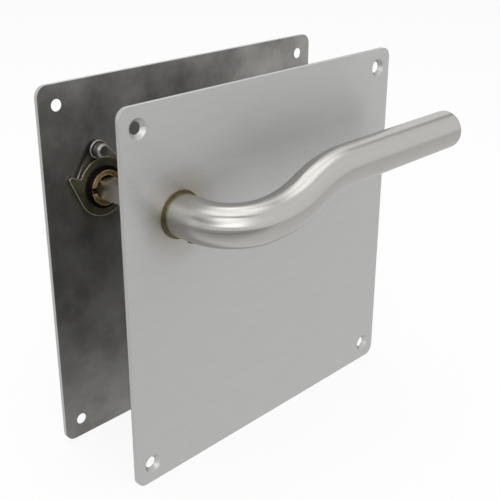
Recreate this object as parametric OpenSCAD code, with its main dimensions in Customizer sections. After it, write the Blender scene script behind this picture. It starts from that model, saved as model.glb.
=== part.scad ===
// Lever door handle set on two square backplates, for both sides of a door.
// Each side has a cranked tube lever that turns in a bush and a spring that centres it.
// Millimetres. The origin is on the spindle axis, midway through the door.
// +Y goes to the rear side, +X along the grips, +Z up. The rear side mirrors the front.

/* [Plates] */
// Width of each plate
plate_w = 170; // [160:1:190]
// Height of each plate
plate_h = 170; // [160:1:190]
// Thickness of the sheet
plate_t = 2; // [1.5:0.1:3]
// Radius of the plate's corners
corner_r = 5; // [2:0.5:8]
// Spindle axis from the plate's left edge
axis_side = 29.5; // [26:0.5:36]
// Spindle axis from the plate's top edge
axis_top = 49; // [44:0.5:56]
// Thickness of the door between the plates
door_t = 49.5; // [40:0.5:60]
// Screw hole centre from each edge
screw_inset = 9; // [8:0.5:11]
// Screw hole diameter
screw_d = 5.2; // [4.5:0.1:5.5]
// Straight part of the hole left under the countersink
csk_land = 0.25; // [0.2:0.05:0.5]

/* [Levers] */
// Outside diameter of the tube
tube_d = 18.4; // [17:0.1:20]
// Wall of the tube
tube_wall = 1.2; // [1:0.1:1.5]
// Straight neck, from the plate's outer face to the bend
neck_len = 11.4; // [11:0.1:16]
// Radius of the neck bend, on the tube's axis
bend_r = 18.2; // [16:0.1:24]
// Straight between the neck bend and the crank
lead = 3.5; // [2:0.5:8]
// Angle of the crank
crank_a = 26.5; // [16:0.5:32]
// Radius of both crank bends, on the tube's axis
crank_r = 54.4; // [40:0.1:60]
// Grip's end from the spindle axis
reach = 150; // [140:1:170]
// Thickness of the end cap's disc
cap_t = 2; // [1.6:0.1:3]
// Rounding of the end cap's edge
cap_r = 1.2; // [0.6:0.1:1.5]
// Length of the end cap's spigot in the tube
cap_spigot = 8; // [5:0.5:12]

/* [Bearing and drive] */
// Flange diameter of the bush
flange_d = 20.8; // [20.4:0.1:22]
// Flange thickness of the bush
flange_t = 0.5; // [0.4:0.1:1]
// Wall of the bush's sleeve
bush_wall = 1.45; // [1.2:0.05:1.6]
// Sleeve end past the plate's inner face
bush_proud = 0.3; // [0.3:0.05:0.6]
// Running clearance round the core
run_c = 0.05; // [0.03:0.01:0.08]
// Side of the square spindle
spindle_s = 8; // [7:0.5:8.5]
// Clearance on each side of the spindle in the core
spindle_c = 0.05; // [0.05:0.01:0.1]
// Width of the core's keyway
key_w = 3; // [2:0.1:4]
// Depth of the core's keyway
key_d = 2.4; // [2.2:0.1:2.6]
// Diameter of the recess in the core's end
cup_d = 11.6; // [11.5:0.1:12]
// Depth of the recess in the core's end
cup_h = 2.6; // [2:0.1:3]
// Diameter of the grub screw
grub_d = 5; // [4:1:6]
// Grub screw end past the tube
grub_out = 0.6; // [0.3:0.1:1]
// Hexagon socket of the grub screw, across flats
grub_hex = 2.5; // [2:0.5:3]

/* [Spring return] */
// Thickness of the cam
cam_t = 1.5; // [1.2:0.1:2]
// Radius of the cam's round part
cam_r = 13.4; // [12.6:0.1:13.6]
// Radius out to the tips of the cam's teeth
tooth_r = 19.2; // [18:0.1:19.6]
// Angle of the teeth above the horizontal
tooth_a = 26; // [20:1:30]
// Rounding of the tooth tips
tip_r = 1.2; // [0.6:0.1:1.4]
// Thickness of the circlip
clip_t = 1; // [0.8:0.1:1.2]
// Radial width of the circlip
clip_w = 2.1; // [1.8:0.1:2.3]
// Depth of the circlip's groove
groove = 0.4; // [0.3:0.05:0.5]
// Diameter of the stud
stud_d = 6.2; // [5.6:0.1:6.4]
// Length of the stud
stud_len = 6.5; // [6:0.1:8]
// Chamfer on the stud's end
stud_ch = 0.9; // [0.4:0.1:1.2]
// Stud centre above the spindle axis
stud_up = 17.8; // [17.6:0.1:19]
// Stud centre left of the spindle axis
stud_left = 2.4; // [0:0.1:2.6]
// Wire diameter of the spring
wire_d = 1; // [0.8:0.05:1.1]
// Full turns of the spring
turns = 1; // [1:1:3]
// Clearance between the coil and the stud
coil_c = 0.1; // [0.05:0.05:0.15]
// Gap between the turns of the coil
coil_gap = 0.6; // [0.1:0.05:0.8]

/* [Hidden] */
$fn = 64;

// Distances from the door's middle to the plate's two faces
y_in = door_t / 2;
y_out = y_in + plate_t;

// Bore of the tube, which the core and the end cap fill
bore_d = tube_d - 2 * tube_wall;

// Bush sleeve, outside
sleeve_d = bore_d + 2 * run_c + 2 * bush_wall;

// Stack on the inner face: bush end, cam, circlip, end of the core
cam_h = bush_proud;
clip_h = cam_h + cam_t;
core_back = clip_h + clip_t + 1.2;
core_front = neck_len - 0.4;
grub_y = y_out + core_front * 2 / 3;
spindle_len = 2 * (y_out + core_front - 1);
groove_d = bore_d - 2 * groove;

// Lever path: y of the grip's axis, then x and z where each stretch ends
grip_y = y_out + neck_len + bend_r;
lead_x = bend_r + lead;
grip_x = lead_x + 2 * crank_r * sin(crank_a);
grip_z = 2 * crank_r * (1 - cos(crank_a));

// Cam tooth: the tip circle touches the tooth's upper edge and the line tangent to the round part
tip_at = tooth_r - tip_r;
edge_len = sqrt(tip_at * tip_at - tip_r * tip_r);
tip_c = [
    edge_len * cos(tooth_a) + tip_r * sin(tooth_a),
    edge_len * sin(tooth_a) - tip_r * cos(tooth_a)
];
flank_a = atan2(tip_c[1], tip_c[0]) - acos((cam_r - tip_r) / tip_at);

// Spring: each leg leaves the coil at its tangent and ends at the root of a tooth's upper edge
coil_r = stud_d / 2 + coil_c + wire_d / 2;
pitch = wire_d + coil_gap;
stud_at = [-stud_left, stud_up];
leg_r = cam_r + 1.5 * wire_d;
leg_end = [
    leg_r * cos(tooth_a) - 0.2 * wire_d * sin(tooth_a),
    leg_r * sin(tooth_a) + 0.2 * wire_d * cos(tooth_a)
];
left_end = [-leg_end[0], leg_end[1]];
left_a = leave_a(left_end, -1);
right_a = leave_a(leg_end, 1);
wind = left_a - right_a + 360 * turns;
steps = ceil(wind / 15);
coil_h0 = wire_d / 2;
coil_h1 = coil_h0 + pitch * wind / 360;
leg_h = cam_h + cam_t / 2;
left_near = leg_near(left_end, left_a);
right_near = leg_near(leg_end, right_a);

// Angle on the coil where the leg to point p leaves it, on the right (1) or the left (-1)
function leave_a(p, side) =
    let (
        v = p - stud_at,
        a = atan2(v[1], side * v[0]) + acos(coil_r / norm(v))
    )
    side > 0 ? a : 180 - a;

// Point at angle a on the coil's centre line
function on_coil(a) = stud_at + coil_r * [cos(a), sin(a)];

// Point of the leg to p, up to which it stays level with the coil
function leg_near(p, a) = on_coil(a) + 3.5 * wire_d * unit(p - on_coil(a));

// Points of the spring's centre line: x, height over the inner face, z
spring_path = concat(
    [[left_end[0], leg_h, left_end[1]], [left_near[0], coil_h0, left_near[1]]],
    [for (i = [0 : steps])
        let (q = on_coil(left_a - wind * i / steps))
        [q[0], coil_h0 + (coil_h1 - coil_h0) * i / steps, q[1]]],
    [[right_near[0], coil_h1, right_near[1]], [leg_end[0], leg_h, leg_end[1]]]
);

function unit(v) = v / norm(v);

// Direction of the centre line at point i
function heading(p, i) =
    unit(p[min(i + 1, len(p) - 1)] - p[max(i - 1, 0)]);

// Round wire along points p: a ring of n corners at each point, kept upright to the plate
module wire(p, d, n = 12) {
    rings = [for (i = [0 : len(p) - 1])
        let (
            t = heading(p, i),
            s = unit(cross(t, [0, 1, 0])),
            u = cross(s, t)
        )
        for (k = [0 : n - 1])
        p[i] + d / 2 * (cos(360 * k / n) * s + sin(360 * k / n) * u)];
    last = (len(p) - 1) * n;
    sides = [for (i = [0 : len(p) - 2], k = [0 : n - 1])
        let (a = i * n + k, b = i * n + (k + 1) % n)
        each [[a, b, b + n], [a, b + n, a + n]]];
    ends = [
        [for (k = [n - 1 : -1 : 0]) k],
        [for (k = [0 : n - 1]) last + k]
    ];
    polyhedron(rings, concat(sides, ends));
}

// Flat shape drawn as the front shows it, x right and z up, set from h1 to h2 over the inner face
module layer(h1, h2) {
    translate([0, h2 - y_in, 0])
        rotate([90, 0, 0])
            linear_extrude(h2 - h1)
                children();
}

// Round bar along the spindle axis from h1 to h2 over the inner face
module bar(d, h1, h2) {
    layer(h1, h2)
        circle(d = d);
}

// A move in a coarse and a fine step. Places are written out to six digits, and in two steps
// the tube's bends and straights meet face to face.
module place(v) {
    coarse = [for (x = v) round(100 * x) / 100];
    translate(coarse)
        translate(v - coarse)
            children();
}

module tube_section() {
    difference() {
        circle(d = tube_d);
        circle(d = bore_d);
    }
}

module straight(l) {
    linear_extrude(l)
        tube_section();
}

module bend(r, a) {
    rotate_extrude(angle = a)
        translate([r, 0])
            tube_section();
}

module plate_shape() {
    x0 = -axis_side;
    x1 = plate_w - axis_side;
    z0 = axis_top - plate_h;
    z1 = axis_top;
    csk_d = screw_d + 2 * (plate_t - csk_land);
    difference() {
        layer(-plate_t, 0) {
            translate([x0, z0 + corner_r])
                square([plate_w, plate_h - 2 * corner_r]);
            translate([x0 + corner_r, z0])
                square([plate_w - 2 * corner_r, plate_h]);
            for (x = [x0 + corner_r, x1 - corner_r], z = [z0 + corner_r, z1 - corner_r])
                translate([x, z])
                    circle(corner_r);
        }
        bar(sleeve_d, -plate_t - 1, 1);
        for (x = [x0 + screw_inset, x1 - screw_inset], z = [z0 + screw_inset, z1 - screw_inset])
            translate([x, 0, z]) {
                bar(screw_d, -plate_t - 1, 1);
                translate([0, -y_in - csk_land, 0])
                    rotate([90, 0, 0])
                        cylinder(d1 = screw_d, d2 = csk_d, h = plate_t - csk_land);
            }
    }
}

module bush_shape() {
    difference() {
        union() {
            bar(flange_d, -plate_t - flange_t, -plate_t);
            bar(sleeve_d, -plate_t, bush_proud);
        }
        bar(bore_d + 2 * run_c, -plate_t - flange_t - 1, bush_proud + 1);
    }
}

module lever_shape() {
    difference() {
        union() {
            translate([0, -y_out - flange_t, 0])
                rotate([90, 0, 0])
                    straight(neck_len - flange_t);
            translate([bend_r, -y_out - neck_len, 0])
                rotate([0, 0, 180])
                    bend(bend_r, 90);
            translate([bend_r, -grip_y, 0])
                rotate([0, 90, 0])
                    straight(lead);
            translate([lead_x, -grip_y, crank_r])
                rotate([90, 0, 0])
                    rotate([0, 0, -90])
                        bend(crank_r, crank_a);
            place([grip_x, -grip_y, grip_z - crank_r])
                rotate([90, 0, 0])
                    rotate([0, 0, 90])
                        bend(crank_r, crank_a);
            place([grip_x, -grip_y, grip_z])
                rotate([0, 90, 0])
                    straight(reach - cap_t - grip_x);
        }
        translate([0, -grub_y, -tube_d])
            cylinder(d = grub_d + 0.2, h = tube_d);
    }
}

module end_cap_shape() {
    translate([reach - cap_t, -grip_y, grip_z])
        rotate([0, 90, 0])
            rotate_extrude() {
                translate([0, -cap_spigot])
                    square([bore_d / 2, cap_spigot]);
                square([tube_d / 2, cap_t - cap_r]);
                square([tube_d / 2 - cap_r, cap_t]);
                translate([tube_d / 2 - cap_r, cap_t - cap_r])
                    circle(cap_r);
            }
}

module neck_core_shape() {
    hole = spindle_s + 2 * spindle_c;
    difference() {
        bar(bore_d, -plate_t - core_front, core_back);
        layer(-plate_t - core_front - 1, core_back + 1)
            square(hole, center = true);
        bar(cup_d, core_back - cup_h, core_back + 1);
        layer(clip_h, clip_h + clip_t)
            difference() {
                circle(d = bore_d + 2);
                circle(d = groove_d);
            }
        layer(cam_h, core_back + 1)
            translate([-bore_d / 2 - 1, -key_w / 2])
                square([key_d + 1, key_w]);
        translate([0, -grub_y, -bore_d])
            cylinder(d = grub_d, h = bore_d);
    }
}

module tooth() {
    f = [cos(flank_a), sin(flank_a)];
    polygon([
        [0, 0],
        cam_r * f,
        tip_c + tip_r * f,
        tip_c,
        edge_len * [cos(tooth_a), sin(tooth_a)]
    ]);
    translate(tip_c)
        circle(tip_r);
}

module cam_shape() {
    layer(cam_h, cam_h + cam_t) {
        difference() {
            union() {
                circle(cam_r);
                tooth();
                mirror([1, 0])
                    tooth();
            }
            circle(d = bore_d);
        }
        translate([-bore_d / 2 - 0.5, -key_w / 2 + 0.05])
            square([key_d / 2 + 0.5, key_w - 0.1]);
    }
}

module circlip_shape() {
    lug_at = groove_d / 2 + clip_w;
    layer(clip_h, clip_h + clip_t)
        difference() {
            union() {
                circle(d = groove_d + 2 * clip_w);
                for (a = [-20, 20])
                    rotate(a)
                        translate([lug_at, 0])
                            circle(clip_w * 0.8);
            }
            circle(d = groove_d);
            polygon([[0, 0], [30, 30 * tan(9)], [30, -30 * tan(9)]]);
            for (a = [-20, 20])
                rotate(a)
                    translate([lug_at, 0])
                        circle(0.75);
        }
}

module stud_shape() {
    translate([stud_at[0], -y_in, stud_at[1]])
        rotate([-90, 0, 0])
            rotate_extrude()
                polygon([
                    [0, 0],
                    [stud_d / 2, 0],
                    [stud_d / 2, stud_len - stud_ch],
                    [stud_d / 2 - stud_ch, stud_len],
                    [0, stud_len]
                ]);
}

module spring_shape() {
    translate([0, -y_in, 0])
        wire(spring_path, wire_d);
}

module grub_screw_shape() {
    len = tube_d / 2 + grub_out - spindle_s / 2;
    translate([0, -grub_y, -spindle_s / 2])
        rotate([180, 0, 0])
            difference() {
                cylinder(d = grub_d, h = len);
                translate([0, 0, len - grub_hex])
                    cylinder(d = grub_hex / cos(30), h = grub_hex + 1, $fn = 6);
            }
}

module front_plate() {
    color("#a9a7a3")
        plate_shape();
}

module front_bush() {
    color("#8a7d52")
        bush_shape();
}

module front_lever() {
    color("#bdbcba")
        lever_shape();
}

module front_end_cap() {
    color("#b4b3b1")
        end_cap_shape();
}

module front_neck_core() {
    color("#c8a064")
        neck_core_shape();
}

module front_cam() {
    color("#4a4638")
        cam_shape();
}

module front_circlip() {
    color("#1c1b1a")
        circlip_shape();
}

module front_spring() {
    color("#a3a29f")
        spring_shape();
}

module front_stud() {
    color("#77746f")
        stud_shape();
}

module front_grub_screw() {
    color("#5a5854")
        grub_screw_shape();
}

module rear_plate() {
    color("#a9a7a3")
        mirror([0, 1, 0])
            plate_shape();
}

module rear_bush() {
    color("#8a7d52")
        mirror([0, 1, 0])
            bush_shape();
}

module rear_lever() {
    color("#bdbcba")
        mirror([0, 1, 0])
            lever_shape();
}

module rear_end_cap() {
    color("#b4b3b1")
        mirror([0, 1, 0])
            end_cap_shape();
}

module rear_neck_core() {
    color("#c8a064")
        mirror([0, 1, 0])
            neck_core_shape();
}

module rear_cam() {
    color("#4a4638")
        mirror([0, 1, 0])
            cam_shape();
}

module rear_circlip() {
    color("#1c1b1a")
        mirror([0, 1, 0])
            circlip_shape();
}

module rear_spring() {
    color("#a3a29f")
        mirror([0, 1, 0])
            spring_shape();
}

module rear_stud() {
    color("#77746f")
        mirror([0, 1, 0])
            stud_shape();
}

module rear_grub_screw() {
    color("#5a5854")
        mirror([0, 1, 0])
            grub_screw_shape();
}

module spindle() {
    color("#8d8b87")
        cube([spindle_s, spindle_len, spindle_s], center = true);
}

front_plate();
front_bush();
front_lever();
front_end_cap();
front_neck_core();
front_cam();
front_circlip();
front_spring();
front_stud();
front_grub_screw();
rear_plate();
rear_bush();
rear_lever();
rear_end_cap();
rear_neck_core();
rear_cam();
rear_circlip();
rear_spring();
rear_stud();
rear_grub_screw();
spindle();
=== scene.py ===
# Lever door handle set: two square backplates, two cranked tube levers, one square spindle.
from math import acos, atan2, cos, pi, radians, sin, tau

import bmesh
import bpy
from mathutils import Matrix, Vector


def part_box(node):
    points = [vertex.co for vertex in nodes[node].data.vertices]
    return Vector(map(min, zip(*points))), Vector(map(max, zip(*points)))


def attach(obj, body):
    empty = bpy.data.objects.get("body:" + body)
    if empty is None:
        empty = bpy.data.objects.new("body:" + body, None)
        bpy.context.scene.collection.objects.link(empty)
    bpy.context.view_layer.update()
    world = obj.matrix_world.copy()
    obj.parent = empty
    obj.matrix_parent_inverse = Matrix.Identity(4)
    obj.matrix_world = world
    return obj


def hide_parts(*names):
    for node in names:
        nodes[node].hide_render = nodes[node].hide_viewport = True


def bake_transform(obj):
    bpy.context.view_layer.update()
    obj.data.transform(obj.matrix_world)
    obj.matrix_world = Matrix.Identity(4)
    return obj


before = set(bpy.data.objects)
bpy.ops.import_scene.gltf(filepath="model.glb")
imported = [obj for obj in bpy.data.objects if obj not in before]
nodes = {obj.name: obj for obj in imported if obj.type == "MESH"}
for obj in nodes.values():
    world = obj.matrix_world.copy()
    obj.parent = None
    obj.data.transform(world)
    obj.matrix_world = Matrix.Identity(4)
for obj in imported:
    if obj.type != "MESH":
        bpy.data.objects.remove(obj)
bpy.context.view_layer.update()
scene = bpy.context.scene
scene.view_settings.view_transform = "Standard"

# Camera
# A short telephoto view from the front left and a little above.
camera_at = (-0.23603, -0.28796, 0.13461)
camera_turn = (66.811, -0.189, -46.639)
camera_lens = 66.29
camera_sensor = 36

camera = bpy.data.objects.new("camera", bpy.data.cameras.new("camera"))
camera.location = camera_at
camera.rotation_euler = [radians(a) for a in camera_turn]
camera.data.lens = camera_lens
camera.data.sensor_width = camera_sensor
scene.collection.objects.link(camera)
scene.camera = camera


# Studio
# A white sweep under and around the set, and two large soft lamps. The metal mirrors it as a light
# tent with two seams in its cloth, over a table with a dark edge.
def linear(hex_colour):
    """Linear RGBA from an sRGB hex colour."""
    parts = [int(hex_colour[i : i + 2], 16) / 255 for i in (1, 3, 5)]
    return [c / 12.92 if c <= 0.04045 else ((c + 0.055) / 1.055) ** 2.4 for c in parts] + [1]


def plug(tree, node, values):
    """Sets a node's inputs: a socket is linked, anything else is the input's value."""
    for name, value in values.items():
        if isinstance(value, bpy.types.NodeSocket):
            tree.links.new(value, node.inputs[name])
        else:
            node.inputs[name].default_value = value


def add(tree, kind, values=None, **settings):
    """Adds a node with its settings and inputs."""
    node = tree.nodes.new(kind)
    for name, value in settings.items():
        setattr(node, name, value)
    plug(tree, node, values or {})
    return node


def mirrored_in(tree, path):
    """1 where a piece mirrors the studio or shows it through, 0 elsewhere."""
    return add(
        tree,
        "ShaderNodeMath",
        {0: path.outputs["Is Glossy Ray"], 1: path.outputs["Is Transmission Ray"]},
        operation="MAXIMUM",
    ).outputs[0]


def off_line(tree, value, line):
    """How far a place is from a line across the studio."""
    gap = add(tree, "ShaderNodeMath", {0: value, 1: line}, operation="SUBTRACT")
    return add(tree, "ShaderNodeMath", {0: gap.outputs[0]}, operation="ABSOLUTE").outputs[0]


sky_light = 0.65
seam_across = (-0.5, 0, 1)
seam_up = 0.92
seam_behind = 0.12
seam_w = 0.06
seam_tone = 0.3

world = bpy.data.worlds.new("white studio")
scene.world = world
world.use_nodes = True
sky = world.node_tree
path = add(sky, "ShaderNodeLightPath")
plain = add(
    sky,
    "ShaderNodeMapRange",
    {"Value": path.outputs["Is Camera Ray"], "To Min": sky_light, "To Max": 1.0},
)
heading = add(sky, "ShaderNodeTexCoord").outputs["Generated"]
split = add(sky, "ShaderNodeSeparateXYZ", {0: heading})
up = add(sky, "ShaderNodeVectorMath", {0: heading, 1: seam_across}, operation="DOT_PRODUCT")
off = add(
    sky,
    "ShaderNodeMath",
    {0: off_line(sky, up.outputs["Value"], seam_up), 1: off_line(sky, split.outputs["Y"], seam_behind)},
    operation="MINIMUM",
)
cloth = add(
    sky,
    "ShaderNodeMapRange",
    {
        "Value": off.outputs[0],
        "From Min": seam_w,
        "From Max": 2 * seam_w,
        "To Min": seam_tone,
        "To Max": 1.0,
    },
)
strength = add(
    sky,
    "ShaderNodeMix",
    {0: mirrored_in(sky, path), 2: plain.outputs["Result"], 3: cloth.outputs["Result"]},
)
plug(sky, sky.nodes["Background"], {"Color": (1, 1, 1, 1), "Strength": strength.outputs[0]})

floor_half = 3.0
floor_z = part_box("front_plate")[0][2]
floor_seen = 0.88
floor_across = (0.6, -0.8, 0)
floor_near = 0.1
floor_far = 0.65
near_tone = 0.86
far_tone = 0.8
table_across = (-0.9, -0.44, 0)
shade_from = 0.06
shade_to = 0.2
shade_tone = 0.6
table_edge = 0.375
edge_w = 0.05
edge_tone = 0.05

# White paper: plain white with a faint shadow, and greyer to the left where metal mirrors it.
paper = bpy.data.materials.new("white paper")
paper.use_nodes = True
tree = paper.node_tree
shader = tree.nodes["Principled BSDF"]
path = add(tree, "ShaderNodeLightPath")
mirrored = mirrored_in(tree, path)
seen = add(tree, "ShaderNodeMath", {0: path.outputs["Is Camera Ray"], 1: floor_seen}, operation="MULTIPLY")
share = add(tree, "ShaderNodeMath", {0: seen.outputs[0], 1: mirrored}, operation="MAXIMUM")
place = add(tree, "ShaderNodeTexCoord").outputs["Object"]
right = add(tree, "ShaderNodeVectorMath", {0: place, 1: floor_across}, operation="DOT_PRODUCT")
level = add(
    tree,
    "ShaderNodeMapRange",
    {
        "Value": right.outputs["Value"],
        "From Min": floor_near,
        "From Max": floor_far,
        "To Min": near_tone,
        "To Max": far_tone,
    },
)
left = add(tree, "ShaderNodeVectorMath", {0: place, 1: table_across}, operation="DOT_PRODUCT")
shade = add(
    tree,
    "ShaderNodeMapRange",
    {
        "Value": left.outputs["Value"],
        "From Min": shade_from,
        "From Max": shade_to,
        "To Min": 1.0,
        "To Max": shade_tone,
    },
)
level = add(
    tree,
    "ShaderNodeMath",
    {0: level.outputs["Result"], 1: shade.outputs["Result"]},
    operation="MULTIPLY",
)
edge = add(
    tree,
    "ShaderNodeMapRange",
    {
        "Value": off_line(tree, left.outputs["Value"], table_edge),
        "From Max": edge_w,
        "To Min": edge_tone,
        "To Max": 1.0,
    },
)
tone = add(tree, "ShaderNodeMath", {0: level.outputs[0], 1: edge.outputs["Result"]}, operation="MULTIPLY")
tone = add(tree, "ShaderNodeMix", {0: mirrored, 2: 1.0, 3: tone.outputs[0]})
white = add(tree, "ShaderNodeEmission", {"Color": (1, 1, 1, 1), "Strength": tone.outputs[0]})
plug(tree, shader, {"Base Color": linear("#f6f6f4"), "Roughness": 0.9})
mix = add(tree, "ShaderNodeMixShader", {0: share.outputs[0], 1: shader.outputs[0], 2: white.outputs[0]})
plug(tree, tree.nodes["Material Output"], {"Surface": mix.outputs[0]})

bm = bmesh.new()
bmesh.ops.create_grid(bm, x_segments=1, y_segments=1, size=floor_half)
bmesh.ops.translate(bm, verts=bm.verts, vec=(0, 0, floor_z))
mesh = bpy.data.meshes.new("floor")
bm.to_mesh(mesh)
bm.free()
mesh.materials.append(paper)
floor = bpy.data.objects.new("floor", mesh)
scene.collection.objects.link(floor)

# Each lamp's name, place, size and watts. Both face the middle of the spindle.
lamps = [
    ("left lamp", (-0.7, -0.7, 0.75), 1.0, 5),
    ("top lamp", (0.1, 0.1, 1.2), 1.2, 6),
]
for name, lamp_at, size, watts in lamps:
    lamp = bpy.data.objects.new(name, bpy.data.lights.new(name, "AREA"))
    lamp.data.size = size
    lamp.data.energy = watts
    lamp.location = lamp_at
    lamp.rotation_euler = (-Vector(lamp_at)).to_track_quat("-Z", "Y").to_euler()
    scene.collection.objects.link(lamp)


# Plates
# Two flat sheets of stainless steel, laser cut, linished from side to side and countersunk
# for the screws. The inner faces keep the mill's own rougher finish, with the smudges of handling,
# and a darker grey that is painted shade between the plates.
def metal(name, colour, roughness, edge=0.0002):
    """A bare metal with its edges broken by a radius. Gives the material, its tree and its shader."""
    material = bpy.data.materials.new(name)
    material.use_nodes = True
    tree = material.node_tree
    shader = tree.nodes["Principled BSDF"]
    broken = add(tree, "ShaderNodeBevel", {"Radius": edge}, samples=4, name="broken edge")
    plug(
        tree,
        shader,
        {
            "Base Color": linear(colour),
            "Metallic": 1.0,
            "Roughness": roughness,
            "Normal": broken.outputs[0],
        },
    )
    return material, tree, shader


def from_axis(tree, place):
    """Distance of a place from the spindle's axis."""
    flat = add(tree, "ShaderNodeVectorMath", {0: place, 1: (1, 0, 1)}, operation="MULTIPLY")
    return add(tree, "ShaderNodeVectorMath", {0: flat.outputs[0]}, operation="LENGTH").outputs["Value"]


def from_middle(tree, place):
    """Distance of a place from the plane midway between the plates."""
    split = add(tree, "ShaderNodeSeparateXYZ", {0: place})
    return add(tree, "ShaderNodeMath", {0: split.outputs["Y"]}, operation="ABSOLUTE").outputs[0]


def dress(node, material):
    """Gives a CAD node its finished material."""
    mesh = nodes[node].data
    mesh.materials.clear()
    mesh.materials.append(material)


sheet_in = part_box("rear_plate")[0][1]
sheet_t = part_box("rear_plate")[1][1] - sheet_in
inner_skin = 0.1 * sheet_t
linish_w = 0.0012
linish_l = 0.02
linish_h = 0.0002
smudge_w = 0.022
bush_r = (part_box("front_bush")[1][0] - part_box("front_bush")[0][0]) / 2
reflection_w = 0.012

# Linished stainless: reflections drawn out upright, with fine lines along the sheet and a painted
# brown reflection round the bush. Behind it the cloudy grey of a sheet that was only wiped, darker
# as painted shade between the plates.
plate_steel, tree, shader = metal("linished stainless sheet", "#c1c1c0", 0.4)
place = add(tree, "ShaderNodeTexCoord").outputs["Object"]
stretch = add(
    tree,
    "ShaderNodeMapping",
    {"Vector": place, "Scale": (1 / linish_l, 1 / linish_w, 1 / linish_w)},
)
lines = add(
    tree,
    "ShaderNodeTexNoise",
    {"Vector": stretch.outputs[0], "Scale": 1.0, "Detail": 3.0, "Distortion": 0.5},
)
cloud = add(
    tree,
    "ShaderNodeTexNoise",
    {"Vector": place, "Scale": 1 / smudge_w, "Detail": 4.0, "Roughness": 0.6},
)
inner = add(
    tree,
    "ShaderNodeMath",
    {0: from_middle(tree, place), 1: sheet_in + inner_skin},
    operation="LESS_THAN",
)
outside = add(tree, "ShaderNodeMapRange", {"Value": lines.outputs["Fac"], "To Min": 0.36, "To Max": 0.46})
mottle = add(tree, "ShaderNodeMapRange", {"Value": cloud.outputs["Fac"], "From Min": 0.3, "From Max": 0.7})
behind = add(tree, "ShaderNodeMapRange", {"Value": mottle.outputs["Result"], "To Min": 0.4, "To Max": 0.5})
rough = add(
    tree,
    "ShaderNodeMix",
    {0: inner.outputs[0], 2: outside.outputs["Result"], 3: behind.outputs["Result"]},
)
# Painted shade: the inner faces are a darker grey than the outer faces; the cloud in it is the smudges of
# handling.
wiped_and_shaded = add(
    tree,
    "ShaderNodeMix",
    {0: mottle.outputs["Result"], 6: linear("#7a7976"), 7: linear("#a8a7a4")},
    data_type="RGBA",
)
lined = add(
    tree,
    "ShaderNodeMix",
    {0: lines.outputs["Fac"], 6: linear("#bcbcbb"), 7: linear("#c7c7c6")},
    data_type="RGBA",
)
tint = add(
    tree,
    "ShaderNodeMix",
    {0: inner.outputs[0], 6: lined.outputs[2], 7: wiped_and_shaded.outputs[2]},
    data_type="RGBA",
)
# Painted reflection: a warm brown ring on the plate round the bush, broken up by the cloud.
stain_and_reflection = add(
    tree,
    "ShaderNodeMapRange",
    {"Value": from_axis(tree, place), "From Min": bush_r + reflection_w, "From Max": bush_r},
)
stain_and_reflection = add(
    tree,
    "ShaderNodeMath",
    {0: stain_and_reflection.outputs["Result"], 1: cloud.outputs["Fac"]},
    operation="MULTIPLY",
)
tint = add(
    tree,
    "ShaderNodeMix",
    {0: stain_and_reflection.outputs[0], 6: tint.outputs[2], 7: linear("#a89d8c")},
    data_type="RGBA",
)
across = add(tree, "ShaderNodeCombineXYZ", {"Z": 1.0})
ground = add(
    tree,
    "ShaderNodeBump",
    {
        "Height": lines.outputs["Fac"],
        "Strength": 0.05,
        "Distance": linish_h,
        "Normal": tree.nodes["broken edge"].outputs[0],
    },
)
plug(
    tree,
    shader,
    {
        "Base Color": tint.outputs[2],
        "Roughness": rough.outputs[0],
        "Normal": ground.outputs[0],
        "Anisotropic": 0.75,
        "Tangent": across.outputs[0],
    },
)
for side in ("front", "rear"):
    dress(f"{side}_plate", plate_steel)


# Bushes
# Flanged bearing rings pressed into the plates. Sintered bronze, turned, gone dull and olive.
def grained(tree, shader, width, smoothest, roughest):
    """Gives a metal a fine uneven gloss, by a grain of a real width. Gives the grain back."""
    place = add(tree, "ShaderNodeTexCoord").outputs["Object"]
    grain = add(tree, "ShaderNodeTexNoise", {"Vector": place, "Scale": 1 / width, "Detail": 2.0})
    rough = add(
        tree,
        "ShaderNodeMapRange",
        {"Value": grain.outputs["Fac"], "To Min": smoothest, "To Max": roughest},
    )
    plug(tree, shader, {"Roughness": rough.outputs["Result"]})
    return grain.outputs["Fac"]


pore_w = 0.0009

# Sintered bronze: a matt, slightly mottled brown yellow.
bronze, tree, shader = metal("sintered bronze", "#6b6142", 0.45)
pores = grained(tree, shader, pore_w, 0.38, 0.55)
patina = add(
    tree,
    "ShaderNodeMix",
    {0: pores, 6: linear("#4a4431"), 7: linear("#857b58")},
    data_type="RGBA",
)
plug(tree, shader, {"Base Color": patina.outputs[2]})
for side in ("front", "rear"):
    dress(f"{side}_bush", bronze)

# Levers
# Round stainless tube, bent at the neck and cranked up to the grip, then satin ground all over.
# A pressed cap of the same steel closes the grip.
tube_r = 0.0092
neck_end = 0.0114
bend_r = 0.0182
lead = 0.0035
crank_turn = radians(26.5)
crank_r = 0.0544
plate_out = sheet_in + sheet_t
neck_start = -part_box("front_bush")[0][1]
grip_start = bend_r + lead + 2 * crank_r * sin(crank_turn)
grip_rise = 2 * crank_r * (1 - cos(crank_turn))
grip_y = plate_out + neck_end + bend_r
grip_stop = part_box("front_lever")[1][0]
around_n = 72
neck_steps = 24
crank_steps = 16
sharp_edge = radians(40)
satin_w = 0.002

# Satin stainless: ground round the tube, so each reflection is drawn out along it.
tube_steel, tree, shader = metal("satin stainless tube", "#b9b7b3", 0.24)
grained(tree, shader, satin_w, 0.21, 0.27)
along = add(tree, "ShaderNodeAttribute", attribute_name="along")
plug(tree, shader, {"Anisotropic": 0.95, "Tangent": along.outputs["Vector"]})

# Pressed stainless: the same steel, softly blurred, with the faint grain of the press.
cap_steel, tree, shader = metal("pressed stainless cap", "#b0afad", 0.36)
grained(tree, shader, satin_w, 0.32, 0.4)


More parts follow.
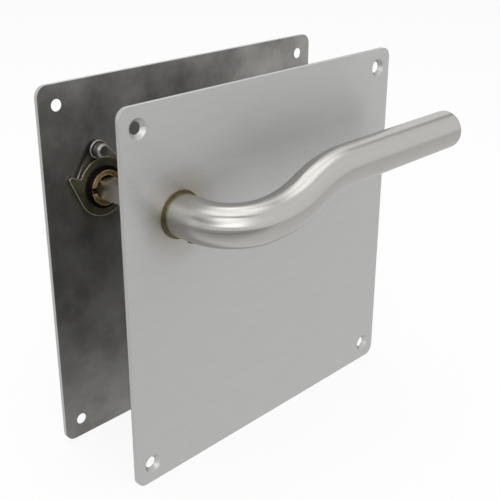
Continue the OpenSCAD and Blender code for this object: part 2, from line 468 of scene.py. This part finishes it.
def onward(bm, ring, vec):
    """Carries an open ring straight on."""
    out = bmesh.ops.extrude_edge_only(bm, edges=ring)["geom"]
    bmesh.ops.translate(bm, verts=[v for v in out if isinstance(v, bmesh.types.BMVert)], vec=vec)
    return [e for e in out if isinstance(e, bmesh.types.BMEdge) and e.is_boundary]


def around(bm, ring, centre, axis, angle, steps, rise=(0, 0, 0)):
    """Carries an open ring round a bend, or up a coil by a rise at each step."""
    out = bmesh.ops.spin(bm, geom=ring, cent=centre, axis=axis, dvec=rise, angle=angle, steps=steps)
    return [e for e in out["geom_last"] if isinstance(e, bmesh.types.BMEdge)]


def finish_piece(bm, name, material):
    """Makes the object from a finished bmesh, smooth but for its sharp edges."""
    bmesh.ops.recalc_face_normals(bm, faces=bm.faces)
    for face in bm.faces:
        face.smooth = True
    for edge in bm.edges:
        edge.smooth = edge.calc_face_angle(0) < sharp_edge
    mesh = bpy.data.meshes.new(name)
    bm.to_mesh(mesh)
    bm.free()
    mesh.materials.append(material)
    piece = bpy.data.objects.new(name, mesh)
    scene.collection.objects.link(piece)
    return piece


def mark_along(tube):
    """Keeps the tube's own direction at each point, taken from the middles of its rings."""
    points = [v.co for v in tube.data.vertices]
    middles = [sum(points[i : i + around_n], Vector()) / around_n for i in range(0, len(points), around_n)]
    along = tube.data.attributes.new("along", "FLOAT_VECTOR", "POINT")
    for i, value in enumerate(along.data):
        ahead = middles[min(i // around_n + 1, len(middles) - 1)]
        behind = middles[max(i // around_n - 1, 0)]
        value.vector = (ahead - behind).normalized()


for side, way in (("front", -1), ("rear", 1)):
    bm = bmesh.new()
    bmesh.ops.create_circle(bm, segments=around_n, radius=tube_r)
    bmesh.ops.rotate(bm, verts=bm.verts, matrix=Matrix.Rotation(pi / 2, 3, "X"))
    bmesh.ops.translate(bm, verts=bm.verts, vec=(0, way * neck_start, 0))
    ring = list(bm.edges)
    bmesh.ops.edgeloop_fill(bm, edges=ring)
    ring = onward(bm, ring, (0, way * (plate_out + neck_end - neck_start), 0))
    neck_bend = (bend_r, way * (plate_out + neck_end), 0)
    ring = around(bm, ring, neck_bend, (0, 0, 1), -way * pi / 2, neck_steps)
    ring = onward(bm, ring, (lead, 0, 0))
    crank_foot = (bend_r + lead, way * grip_y, crank_r)
    ring = around(bm, ring, crank_foot, (0, -1, 0), crank_turn, crank_steps)
    crank_top = (grip_start, way * grip_y, grip_rise - crank_r)
    ring = around(bm, ring, crank_top, (0, 1, 0), crank_turn, crank_steps)
    ring = onward(bm, ring, (grip_stop - grip_start, 0, 0))
    bmesh.ops.edgeloop_fill(bm, edges=ring)
    lever = finish_piece(bm, f"{side}_lever_tube", tube_steel)
    mark_along(lever)
    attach(lever, "levers")
    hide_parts(f"{side}_lever")
    dress(f"{side}_end_cap", cap_steel)

# Neck cores
# Round brass bars pressed into the necks. They run in the bushes and are broached square for the
# spindle, with a turned recess in the end.
turning_w = 0.0005
wave_step = 0.314
recess_r = 0.0057

# Turned brass: warm yellow with fine rings from the lathe, and painted shade in the recess. A wave
# texture at scale 1 repeats once in wave_step.
brass, tree, shader = metal("turned brass", "#cbae80", 0.32, edge=0.0005)
place = add(tree, "ShaderNodeTexCoord").outputs["Object"]
rings = add(
    tree,
    "ShaderNodeTexWave",
    {"Vector": place, "Scale": wave_step / turning_w, "Distortion": 1.0, "Detail": 1.0},
    wave_type="RINGS",
    rings_direction="Y",
)
rough = add(tree, "ShaderNodeMapRange", {"Value": rings.outputs["Fac"], "To Min": 0.26, "To Max": 0.38})
# Painted shade: everything inside the recess's radius is coloured dark brown.
recess_shade = add(tree, "ShaderNodeMath", {0: from_axis(tree, place), 1: recess_r}, operation="LESS_THAN")
tint = add(
    tree,
    "ShaderNodeMix",
    {0: recess_shade.outputs[0], 6: linear("#cbae80"), 7: linear("#3b2a1a")},
    data_type="RGBA",
)
plug(tree, shader, {"Base Color": tint.outputs[2], "Roughness": rough.outputs["Result"]})
for side in ("front", "rear"):
    dress(f"{side}_neck_core", brass)

# Grub screws
# Hexagon socket set screws of blackened steel, screwed through the necks to clamp the cores.

# Blackened steel: dark grey with a dull, uneven sheen.
screw_black, tree, shader = metal("blackened steel", "#4b4947", 0.4)
grained(tree, shader, pore_w, 0.3, 0.5)
for side in ("front", "rear"):
    dress(f"{side}_grub_screw", screw_black)

# Cams
# Discs with two shoulders, stamped from steel sheet, oiled and gone olive. A tongue in the core's
# keyway turns each with its lever.
oil_w = 0.004

# Oiled steel: dark olive grey, glossier where the oil stands, with a painted highlight along its edges.
cam_steel, tree, shader = metal("oiled steel sheet", "#8a8470", 0.36, edge=0.0004)
place = add(tree, "ShaderNodeTexCoord").outputs["Object"]
film = add(tree, "ShaderNodeTexNoise", {"Vector": place, "Scale": 1 / oil_w, "Detail": 3.0})
stain_and_reflection = add(
    tree,
    "ShaderNodeMix",
    {0: film.outputs["Fac"], 6: linear("#767058"), 7: linear("#9a947f")},
    data_type="RGBA",
)
rough = add(tree, "ShaderNodeMapRange", {"Value": film.outputs["Fac"], "To Min": 0.28, "To Max": 0.46})
# Painted highlight: a pale colour along the edges, where the broken edge's normal turns away from the face.
facing = add(tree, "ShaderNodeNewGeometry")
turned = add(
    tree,
    "ShaderNodeVectorMath",
    {0: tree.nodes["broken edge"].outputs[0], 1: facing.outputs["True Normal"]},
    operation="DOT_PRODUCT",
)
edge_highlight = add(tree, "ShaderNodeMapRange", {"Value": turned.outputs["Value"], "From Min": 0.99, "From Max": 0.9})
bright = add(
    tree,
    "ShaderNodeMix",
    {0: edge_highlight.outputs["Result"], 6: stain_and_reflection.outputs[2], 7: linear("#e4e1d4")},
    data_type="RGBA",
)
plug(tree, shader, {"Base Color": bright.outputs[2], "Roughness": rough.outputs["Result"]})
for side in ("front", "rear"):
    dress(f"{side}_cam", cam_steel)

# Circlips
# Open rings with two eyes, stamped from spring steel and snapped into the cores' grooves.

# Phosphated spring steel: a matt black.
clip_black, tree, shader = metal("phosphated spring steel", "#232221", 0.45)
grained(tree, shader, pore_w, 0.36, 0.55)
for side in ("front", "rear"):
    dress(f"{side}_circlip", clip_black)

# Studs
# Round steel posts, turned with a chamfered end and welded to the plates' inner faces. They carry
# the springs.

# Turned steel: plain grey with a soft sheen.
stud_steel, tree, shader = metal("turned steel", "#8e8c88", 0.4)
grained(tree, shader, pore_w, 0.32, 0.46)
for side in ("front", "rear"):
    dress(f"{side}_stud", stud_steel)

# Springs
# Two-legged torsion springs, wound on the studs from drawn spring steel wire. Each leg rests on a
# shoulder of the cam, and both follow it when the lever turns.
wire_r = 0.0005
wire_n = 16
coil_gap = 0.0006
coil_play = 0.0001
full_turns = 1
wind_steps = 96
leg_tip = Vector((0.013304, 0.006711))
leg_level = 0.0035
leg_steps = 12
tip_h = 0.00105
draw_w = 0.0006

# Drawn spring steel: bare grey wire with a faint grain, rougher and with painted shade near the plate.
wire_steel, tree, shader = metal("drawn spring steel", "#a2a19e", 0.3)
place = add(tree, "ShaderNodeTexCoord").outputs["Object"]
drawn = add(tree, "ShaderNodeTexNoise", {"Vector": place, "Scale": 1 / draw_w, "Detail": 2.0})
rough = add(tree, "ShaderNodeMapRange", {"Value": drawn.outputs["Fac"], "To Min": 0.24, "To Max": 0.38})
# Painted shade: the wire close to the plate is coloured near black, and made rougher.
plate_shade = add(
    tree,
    "ShaderNodeMapRange",
    {
        "Value": from_middle(tree, place),
        "From Min": sheet_in - 3 * wire_r,
        "From Max": sheet_in - 2 * wire_r,
    },
)
shaded_colour = add(
    tree,
    "ShaderNodeMix",
    {0: plate_shade.outputs["Result"], 6: linear("#a2a19e"), 7: linear("#2a2826")},
    data_type="RGBA",
)
dull = add(tree, "ShaderNodeMix", {0: plate_shade.outputs["Result"], 2: rough.outputs["Result"], 3: 0.6})
plug(tree, shader, {"Base Color": shaded_colour.outputs[2], "Roughness": dull.outputs[0]})

stud_low, stud_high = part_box("rear_stud")
stud_at = Vector(((stud_low[0] + stud_high[0]) / 2, (stud_low[2] + stud_high[2]) / 2))
coil_r = (stud_high[0] - stud_low[0]) / 2 + coil_play + wire_r


def leave(tip, hand):
    """Angle on the coil at which the leg to a tip leaves it, to the right (1) or the left (-1)."""
    reach = tip - stud_at
    angle = atan2(reach.y, hand * reach.x) + acos(coil_r / reach.length)
    return angle if hand > 0 else pi - angle


left_tip = Vector((-leg_tip.x, leg_tip.y))
left_turn = leave(left_tip, -1)
right_turn = leave(leg_tip, 1)
wind = left_turn - right_turn + full_turns * tau
pitch = 2 * wire_r + coil_gap
coil_rise = pitch * wind / tau
coil_start = stud_at + coil_r * Vector((cos(left_turn), sin(left_turn)))
coil_stop = stud_at + coil_r * Vector((cos(right_turn), sin(right_turn)))
left_bend = coil_start + leg_level * (left_tip - coil_start).normalized()
right_bend = coil_stop + leg_level * (leg_tip - coil_stop).normalized()


def wire_end(bm, at, y, ahead):
    """Starts a wire with its closed end at a place, facing the point ahead."""
    run = ahead - at
    turn = Vector((run.x, 0, run.y)).to_track_quat("Z", "Y").to_matrix()
    bmesh.ops.create_circle(bm, segments=wire_n, radius=wire_r)
    bmesh.ops.rotate(bm, verts=bm.verts, matrix=turn)
    bmesh.ops.translate(bm, verts=bm.verts, vec=(at.x, y, at.y))
    ring = list(bm.edges)
    bmesh.ops.edgeloop_fill(bm, edges=ring)
    return ring


def wire_leg(bm, ring, a, b, lift):
    """Carries a wire from a to b in short steps, and lifts it on the way."""
    for _ in range(leg_steps):
        ring = onward(bm, ring, Vector((b.x - a.x, lift, b.y - a.y)) / leg_steps)
    return ring


for side, way in (("front", -1), ("rear", 1)):
    # The coil with its left leg, which bends below the coil.
    bm = bmesh.new()
    ring = wire_end(bm, left_tip, way * (sheet_in - tip_h), coil_start)
    ring = wire_leg(bm, ring, left_tip, left_bend, way * (tip_h - wire_r))
    ring = wire_leg(bm, ring, left_bend, coil_start, 0)
    ring = around(
        bm,
        ring,
        (stud_at.x, 0, stud_at.y),
        (0, 1, 0),
        wind,
        wind_steps,
        rise=(0, -way * coil_rise / wind_steps, 0),
    )
    bmesh.ops.edgeloop_fill(bm, edges=ring)
    spring = finish_piece(bm, f"{side}_torsion_spring", wire_steel)
    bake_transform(spring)
    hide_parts(f"{side}_spring")

    # The right leg, from the coil's end on.
    bm = bmesh.new()
    ring = wire_end(bm, coil_stop, way * (sheet_in - wire_r - coil_rise), leg_tip)
    ring = wire_leg(bm, ring, coil_stop, right_bend, 0)
    ring = wire_leg(bm, ring, right_bend, leg_tip, way * (wire_r + coil_rise - tip_h))
    bmesh.ops.edgeloop_fill(bm, edges=ring)
    leg = finish_piece(bm, f"{side}_spring_leg", wire_steel)
    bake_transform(leg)
    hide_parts(f"{side}_spring")

# Spindle
# One square bar through both cores and the lock. Cold drawn steel, cut to length.
scale_w = 0.0008
scale_l = 0.012

# Drawn steel: grey, with faint lines along the bar.
bar_steel, tree, shader = metal("cold drawn steel", "#c6c5c2", 0.38, edge=0.0004)
place = add(tree, "ShaderNodeTexCoord").outputs["Object"]
stretch = add(
    tree,
    "ShaderNodeMapping",
    {"Vector": place, "Scale": (1 / scale_w, 1 / scale_l, 1 / scale_w)},
)
lines = add(tree, "ShaderNodeTexNoise", {"Vector": stretch.outputs[0], "Scale": 1.0, "Detail": 2.0})
rough = add(tree, "ShaderNodeMapRange", {"Value": lines.outputs["Fac"], "To Min": 0.32, "To Max": 0.44})
plug(tree, shader, {"Roughness": rough.outputs["Result"]})
dress("spindle", bar_steel)
